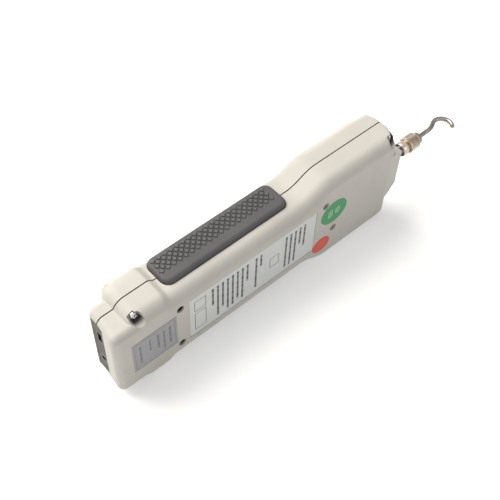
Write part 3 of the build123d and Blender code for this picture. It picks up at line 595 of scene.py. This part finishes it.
# The ridge climbs a little round the corners, so its nearest point gives the level at each place.
ridge_points = [vert for vert in form.verts if any(on_ridge(edge) for edge in vert.link_edges)]
ridge = KDTree(len(ridge_points))
for index, vert in enumerate(ridge_points):
    ridge.insert((vert.co.x, vert.co.z, 0), index)
ridge.balance()
moves = {}
for vert in form.verts:
    nearest = ridge.find((vert.co.x, vert.co.z, 0))[1]
    moves[vert] = skin_move(vert, ridge_points[nearest].co.y / MM)
for vert, move in moves.items():
    if move:
        vert.co += move * MM
form.to_mesh(shell_mesh)
form.free()
shell_mesh.shade_smooth()
shell_mesh.set_sharp_from_angle(angle=math.radians(32))
shell_object = placed("rounded_front_shell", shell_mesh)
evened = shell_object.modifiers.new("normals", "WEIGHTED_NORMAL")
evened.keep_sharp = True
kept("rounded_front_shell", plain_copy(shell_object, "rounded_front_shell"), shell_abs, "case",
     "front_shell", "front_shell")


# ---------------------------------------------------------------- grip pattern

# Two grids of points, the second half a pitch off the first, each point with a four-sided stud.
stud_tree, given = new_tree("diamond_studs", {
    "Pitch X": "NodeSocketFloat", "Pitch Y": "NodeSocketFloat",
    "Columns": "NodeSocketInt", "Rows": "NodeSocketInt",
    "Stud Size": "NodeSocketFloat", "Stud Height": "NodeSocketFloat", "Crest": "NodeSocketFloat",
    "Material": "NodeSocketMaterial",
})
lattice = add(stud_tree, "GeometryNodeJoinGeometry")
for fewer in (0, 1):
    spans = {}
    for axis, count in (("X", "Columns"), ("Y", "Rows")):
        points = add(stud_tree, "ShaderNodeMath", {0: given[count], 1: fewer}, operation="SUBTRACT")
        gaps = add(stud_tree, "ShaderNodeMath", {0: points, 1: 1}, operation="SUBTRACT")
        spans[f"Vertices {axis}"] = points
        spans[f"Size {axis}"] = add(stud_tree, "ShaderNodeMath", {
            0: given[f"Pitch {axis}"], 1: gaps,
        }, operation="MULTIPLY")
    grid = add(stud_tree, "GeometryNodeMeshGrid", spans)
    stud_tree.links.new(grid.outputs["Mesh"], lattice.inputs[0])
foot = add(stud_tree, "ShaderNodeMath", {0: given["Stud Size"], 1: 0.5}, operation="MULTIPLY")
crest = add(stud_tree, "ShaderNodeMath", {0: foot, 1: given["Crest"]}, operation="MULTIPLY")
stud = add(stud_tree, "GeometryNodeMeshCone", {
    "Vertices": 4, "Radius Bottom": foot, "Radius Top": crest, "Depth": given["Stud Height"],
})
set_at_points(stud_tree, lattice, stud, given["Material"])

for side, place in ((1, "upper"), (-1, "lower")):
    studs_mesh = grown(f"{place}_grip_studs", stud_tree, {
        "Pitch X": STUD_PITCH_X * MM, "Pitch Y": STUD_PITCH_Y * MM,
        "Columns": STUD_COLUMNS, "Rows": STUD_ROWS, "Stud Size": STUD_SIZE * MM,
        "Stud Height": STUD_RISE * MM, "Crest": STUD_CREST, "Material": crest_tpe,
    })
    middle = Vector((STUD_CENTRE_X, STUD_CENTRE_Y, side * (GRIP_FACE - STUD_SINK)))
    turn = Matrix.Rotation(0 if side > 0 else math.pi, 4, "X")
    studs_mesh.transform(Matrix.Translation(middle * MM) @ turn)
    kept(f"{place}_grip_studs", studs_mesh, None, "case", f"{place}_grip_pad")


# ---------------------------------------------------------------- measuring axis

def threaded(x, radius, angle):
    """Radius of the shaft's thread, which turns about +X between its crest and its root."""
    if not THREAD_START <= x <= THREAD_STOP:
        return radius
    turn = (x / THREAD_PITCH - angle / (2 * math.pi)) % 1
    return radius - THREAD_DEPTH * abs(2 * turn - 1)


def knurled(x, radius, angle):
    """Radius of the collar's straight knurl, with a groove between each two ribs."""
    if not KNURL_START <= x <= KNURL_STOP or radius < 4.8:
        return radius
    return radius - KNURL_DEPTH * (0.5 + 0.5 * math.cos(KNURLS * angle)) ** 0.7


rings = int((THREAD_STOP - THREAD_START) / THREAD_PITCH * THREAD_STEPS) + 1
back, front = shaft_low.x, shaft_high.x
shaft = turned([
    (back, 0), (back, SHAFT_RADIUS - EDGE), (back + EDGE, SHAFT_RADIUS),
    (FLANGE_BACK, SHAFT_RADIUS), (FLANGE_BACK, FLANGE_RADIUS - EDGE), (FLANGE_BACK + EDGE, FLANGE_RADIUS),
    (FLANGE_FRONT - EDGE, FLANGE_RADIUS), (FLANGE_FRONT, FLANGE_RADIUS - EDGE),
    (FLANGE_FRONT, SHAFT_RADIUS), (THREAD_START - 0.6, SHAFT_RADIUS), (THREAD_START - 0.3, 2.5),
    *((THREAD_START + ring * THREAD_PITCH / THREAD_STEPS, SHAFT_RADIUS - 0.02) for ring in range(rings)),
    (front - 0.3, 2.5), (front, 2.3), (front, 0),
], 48, threaded)
kept("threaded_shaft", scaled_mesh("threaded_shaft", shaft), shaft_stainless, "shaft",
     "measuring_shaft", "measuring_shaft")

# From the bore for the shaft, back along it to the counterbore, round the outside with its step,
# its groove and its knurl, and into the tip's bore for the wire
back = collar_back
collar = turned([
    (back + 9.7, 0), (back + 9.7, 3.05), (back + 3.2, 3.05), (back + 3.0, 3.8), (back + 0.2, 3.85),
    (back, 3.95), (back, 4.15), (back + 0.3, 4.35), (back + 5.0, 4.35),
    (back + 5.3, 4.0), (back + 5.5, 4.0), (back + 5.6, 4.9), (back + 5.8, 5.2), (back + 6.3, 5.2),
    (back + 6.5, 4.95), (back + 6.7, 4.6), (back + 6.9, 4.95),
    *((KNURL_START + along, 5.0) for along in (0, 0.2, 1.6, 3.1, 4.6, 5.8)), (KNURL_STOP, 4.97),
    (back + 13.3, 4.8), (back + 13.7, 4.4), (back + 13.7, 3.7), (back + 15.8, 3.7),
    (back + 16.2, 3.5), (back + 16.4, 3.1), (back + 16.4, 1.47), (back + 12.4, 1.47), (back + 12.4, 0),
], KNURLS * 8, knurled)
kept("knurled_collar", scaled_mesh("knurled_collar", collar, 50), collar_nickel, "hook",
     "hook_collar", "hook_collar")


# ---------------------------------------------------------------- screws and contacts

# One piece set at each point of a mesh, with named inputs for the points and the piece.
repeat_tree, given = new_tree("piece_at_each_point", {
    "Points": "NodeSocketObject", "Piece": "NodeSocketObject", "Material": "NodeSocketMaterial",
})
sources = [
    add(repeat_tree, "GeometryNodeObjectInfo", {"Object": given[label]}).outputs["Geometry"]
    for label in ("Points", "Piece")
]
set_at_points(repeat_tree, *sources, given["Material"])


def repeated(name, places, mesh, material, body, slot, *nodes):
    """Piece made of one mesh at each of some places, in millimetres."""
    dots = bpy.data.meshes.new(name + "_dots")
    dots.from_pydata([Vector(place) * MM for place in places], [], [])
    points = placed(name + "_points", dots)
    one = placed(name + "_one", mesh)
    result = grown(name, repeat_tree, {"Points": points, "Piece": one, "Material": material})
    for holder in (points, one):
        bpy.data.objects.remove(holder)
    kept(name, result, None, body, slot, *nodes)


# Pan head with a cross recess. It is turned about +X, cut, then stood with its head towards -Y.
head = turned([
    (-SHANK_LENGTH, 0), (-SHANK_LENGTH, 1.0), (0.5 - SHANK_LENGTH, SHANK_RADIUS), (0, SHANK_RADIUS),
    (0, 2.5), (0.15, HEAD_RADIUS), (0.8, HEAD_RADIUS), (1.25, 2.4), (1.55, 1.9), (1.72, 1.2),
    (HEAD_RISE, 0.6), (HEAD_RISE, 0),
], 40)
head_object = placed("pan_head", scaled_mesh("pan_head", head))
corner = [(RECESS_SLIT, -RECESS_ARM), (RECESS_SLIT, -RECESS_SLIT), (RECESS_ARM, -RECESS_SLIT)]
outline = []
for quarter in range(4):
    outline += corner
    corner = [(-z, y) for y, z in corner]
cross = bmesh.new()
low = [cross.verts.new((RECESS_FLOOR, y * RECESS_TAPER, z * RECESS_TAPER)) for y, z in outline]
high = [cross.verts.new((HEAD_RISE + 0.6, y, z)) for y, z in outline]
cross.faces.new(low)
cross.faces.new(high)
for index in range(len(outline)):
    cross.faces.new((low[index - 1], low[index], high[index], high[index - 1]))
cross_object = placed("cross_cutter", scaled_mesh("cross_cutter", cross, 20))
cut = head_object.modifiers.new("cross_recess", "BOOLEAN")
cut.operation = "DIFFERENCE"
cut.solver = "EXACT"
cut.object = cross_object
screw_mesh = plain_copy(head_object, "case_screw")
bpy.data.objects.remove(cross_object)
screw_mesh.transform(Matrix.Rotation(-math.pi / 2, 4, "Z"))
repeated("cross_recess_screws", [
    (x, POCKET_FLOOR, side * z) for x, z in SCREW_PLACES for side in (-1, 1)
], screw_mesh, zinc_steel, "case", "case_screws", "case_screws")

# Two rows of five contacts, which point out of the socket towards -X
CONTACT_DEPTH = 6.0
CONTACT_PITCH = 1.3
low, high = box_mm("data_socket")
pin = turned([(-0.8, 0), (-0.8, 0.28), (3.6, 0.28), (3.9, 0.1), (3.9, 0)], 12)
pin_mesh = scaled_mesh("contact_pin", pin)
pin_mesh.transform(Matrix.Rotation(math.pi, 4, "Z"))
repeated("data_contacts", [
    (low.x + CONTACT_DEPTH, (low.y + high.y) / 2 + row * CONTACT_PITCH,
     (low.z + high.z) / 2 + column * CONTACT_PITCH)
    for row in (-0.5, 0.5) for column in range(-2, 3)
], pin_mesh, contact_gold, "case", "data_socket")

# One thicker pin in the middle of the jack
low, high = box_mm("power_jack")
pin = turned([
    (low.x + 1.8, 0), (low.x + 1.8, 0.45), (low.x + 2.1, 0.65), (high.x, 0.65), (high.x, 0),
], 24)
pin_mesh = scaled_mesh("jack_pin", pin)
pin_mesh.transform(Matrix.Translation(Vector((0, low.y + high.y, low.z + high.z)) / 2 * MM))
kept("jack_pin", pin_mesh, contact_gold, "case", "power_jack")


# ---------------------------------------------------------------- printed labels

def dashes(x, start, length, thickness):
    """A plain rule at X, broken into dashes from a margin towards -Z, as X and Z ranges."""
    ranges = []
    edge = start
    turn = int(abs(x)) % len(DASHES)
    while edge > start - length:
        dash = min(DASHES[turn % len(DASHES)], edge - (start - length))
        ranges.append((x - thickness / 2, x + thickness / 2, edge - dash, edge))
        edge -= dash + DASH_GAP
        turn += 1
    return ranges


def empty_box(x0, x1, z0, z1, line):
    """The four sides of an empty box, as X and Z ranges."""
    return [
        (x0, x1, z0, z0 + line), (x0, x1, z1 - line, z1),
        (x0, x0 + line, z0 + line, z1 - line), (x1 - line, x1, z0 + line, z1 - line),
    ]


def printed(name, node, ink, ranges):
    """Ink in X and Z ranges on a label or sticker that faces -Y."""
    top = box_mm(node)[0].y
    build = bmesh.new()
    for x0, x1, z0, z1 in ranges:
        middle = Matrix.Translation(((x0 + x1) / 2, top, (z0 + z1) / 2))
        size = Matrix.Diagonal((x1 - x0, 2 * INK, z1 - z0, 1))
        bmesh.ops.create_cube(build, size=1, matrix=middle @ size)
    kept(name, scaled_mesh(name, build), ink, "case", node)


# Three blocks of rows that start at one margin, as on a sheet of notes: each block has the X of its
# first row and the lengths of its rows
ROW_PITCH = 3.35
NOTES = (
    (-82.1, (18, 14, 27, 27, 27)),
    (-113.5, (10, 26)),
    (-123.0, (14, 27, 24, 27, 27, 22, 27, 15)),
)
spec_ranges = [
    dash for first, lengths in NOTES for row, length in enumerate(lengths)
    for dash in dashes(first - ROW_PITCH * row, NOTE_MARGIN, length, NOTE_THICKNESS)
]
for sides in ((-107.0, -100.5, -4.0, 4.0), (-158.5, -151.0, -12.5, 2.0), (-158.5, -151.0, 4.0, 12.5)):
    spec_ranges += empty_box(*sides, NOTE_BOX_LINE)
printed("spec_rules", "spec_label", ink_dark, spec_ranges)

# Rows of the rating label by X, length and thickness, inside a plain border
RATINGS = ((-174.6, 15, 1.3), (-178.4, 17, 1.1), (-182.0, 12, 1.3), (-187.0, 10, 0.9), (-193.0, 15, 1.2))
low, high = box_mm("rating_label")
rating_ranges = [
    dash for x, length, thickness in RATINGS
    for dash in dashes(x, RATING_MARGIN, length, thickness)
]
rating_ranges += empty_box(
    low.x + BORDER_INSET, high.x - BORDER_INSET, low.z + BORDER_INSET, high.z - BORDER_INSET,
    BORDER_LINE)
printed("rating_rules", "rating_label", ink_grey, rating_ranges)

# Rows on the two round stickers, by their distance in X from the middle and their length
for colour, ink, rows in (
    ("green", ink_pale, ((3.9, 4.5), (2.6, 5.2), (1.3, 4.5), (-1.6, 6.0), (-2.9, 6.6), (-4.2, 5.0))),
    ("red", ink_rose, ((2.4, 5.0), (0.8, 7.0), (-0.8, 7.0), (-2.4, 5.0))),
):
    low, high = box_mm(f"{colour}_sticker")
    middle = (low + high) / 2
    printed(f"{colour}_rules", f"{colour}_sticker", ink, [
        dash for away, length in rows
        for dash in dashes(middle.x + away, middle.z + length / 2, length, STICKER_THICKNESS)
    ])


# ---------------------------------------------------------------- floor and surroundings

LIT_MIDDLE = Vector((-90.0, 0, 0)) * MM

# The gauge stands on the side of its head and on the lower edge of its tail, so the floor is
# tilted by the same angle, about the edge of the head that it touches.
FLOOR_HALF = 3000.0
FLOOR_GAP = 0.15
FLOOR_RISE = 3.9          # from the head's edge to the tail's, over the run between them
FLOOR_RUN = 126.4
PAPER_GLOW = 0.33
WHITE_FROM = 300.0        # distance from the middle at which the floor starts to turn white
WHITE_BEYOND = 750.0
touch = Vector((-62.0, 6.0, box_mm("front_shell")[0].z - FLOOR_GAP))
tilt = math.atan2(FLOOR_RISE, FLOOR_RUN)
floor_mesh = bpy.data.meshes.new("floor")
floor_mesh.from_pydata([
    Vector((x, y, 0)) * FLOOR_HALF * MM for x, y in ((-1, -1), (1, -1), (1, 1), (-1, 1))
], [], [(0, 1, 2, 3)])
floor_mesh.transform(Matrix.Translation(touch * MM) @ Matrix.Rotation(tilt, 4, "Y"))
floor = placed("floor", floor_mesh)

# Matt white paper. To the camera it glows a little, and turns to plain white further out.
paper, tree, place = started("white_paper_floor")
fibres = add(tree, "ShaderNodeTexNoise", {"Vector": place, "Scale": 1 / (FIBRE_SIZE * MM), "Detail": 2.0})
shade = add(tree, "ShaderNodeMapRange", {"Value": fibres, "To Min": 0.9, "To Max": 0.93})
matt = add(tree, "ShaderNodeBsdfDiffuse", {"Color": shade})
rays = add(tree, "ShaderNodeLightPath").outputs
seen = add(tree, "ShaderNodeMath", {0: rays["Is Camera Ray"], 1: rays["Is Glossy Ray"]}, operation="ADD")
glow_strength = add(tree, "ShaderNodeMath", {0: seen, 1: PAPER_GLOW}, operation="MULTIPLY")
glow = add(tree, "ShaderNodeEmission", {"Strength": glow_strength})
near = add(tree, "ShaderNodeAddShader", {0: matt, 1: glow})
far = add(tree, "ShaderNodeEmission", {"Strength": 1.0})
away = add(tree, "ShaderNodeVectorMath", {0: place, 1: LIT_MIDDLE}, operation="DISTANCE")
faded = add(tree, "ShaderNodeMapRange", {
    "Value": away.outputs["Value"], "From Min": WHITE_FROM * MM, "From Max": WHITE_BEYOND * MM,
}, interpolation_type="SMOOTHSTEP")
share = add(tree, "ShaderNodeMath", {0: faded, 1: seen}, operation="MULTIPLY")
surface = add(tree, "ShaderNodeMixShader", {0: share, 1: near, 2: far})
add(tree, "ShaderNodeOutputMaterial", {"Surface": surface})
floor_mesh.materials.append(paper)

# White to the camera, in reflections and through the window, and dimmer as a light
world = bpy.data.worlds.new("studio")
world.use_nodes = True
tree = world.node_tree
tree.nodes.clear()
rays = add(tree, "ShaderNodeLightPath").outputs
seen = rays["Is Camera Ray"]
for ray in ("Is Glossy Ray", "Is Transmission Ray"):
    seen = add(tree, "ShaderNodeMath", {0: seen, 1: rays[ray]}, operation="MAXIMUM")
ambient = add(tree, "ShaderNodeBackground", {"Color": (1, 1, 1, 1), "Strength": 0.26})
white = add(tree, "ShaderNodeBackground", {"Color": (1, 1, 1, 1), "Strength": 1.0})
sky = add(tree, "ShaderNodeMixShader", {0: seen, 1: ambient, 2: white})
add(tree, "ShaderNodeOutputWorld", {"Surface": sky})
bpy.context.scene.world = world


# ---------------------------------------------------------------- lamps and camera

def lamp(name, place, size, watts, colour="FFFFFF"):
    """Soft square lamp at a place, in metres, turned towards the middle of the gauge."""
    data = bpy.data.lights.new(name, "AREA")
    data.shape = "SQUARE"
    data.size = size
    data.energy = watts
    data.color = linear(colour)[:3]
    item = placed(name, data)
    item.location = place
    item.rotation_euler = (LIT_MIDDLE - Vector(place)).to_track_quat("-Z", "Y").to_euler()


lamp("key", (-0.42, 0.95, 1.25), size=1.5, watts=40.0, colour="FFFAF3")
lamp("side", (-1.2, -0.4, 0.5), size=0.7, watts=1.5)
lamp("fill", (0.5, -1.0, 0.6), size=0.8, watts=2.5)

# Three-quarter view from behind and above, a little rolled
AZIMUTH = math.radians(-43.38)
ELEVATION = math.radians(53.05)
ROLL = math.radians(2.45)
SENSOR = 36.0
LENS = 63.27288
AIM = Vector((-105.05, 6.0, -7.57))
DISTANCE = 483.64
level = Vector((math.cos(AZIMUTH), math.sin(AZIMUTH), 0))
back = Vector((level.y, -level.x, 0)) * math.cos(ELEVATION) + Vector((0, 0, math.sin(ELEVATION)))
upward = back.cross(level)
right = level * math.cos(ROLL) + upward * math.sin(ROLL)
up = upward * math.cos(ROLL) - level * math.sin(ROLL)
camera_data = bpy.data.cameras.new("camera")
camera_data.sensor_width = SENSOR
camera_data.sensor_fit = "HORIZONTAL"
camera_data.lens = LENS
camera_data.clip_start = 10 * MM
camera = placed("camera", camera_data)
axes = Matrix((right, up, back)).transposed().to_4x4()
camera.matrix_world = Matrix.Translation((AIM + back * DISTANCE) * MM) @ axes
bpy.context.scene.camera = camera
bpy.context.scene.view_settings.view_transform = "Standard"
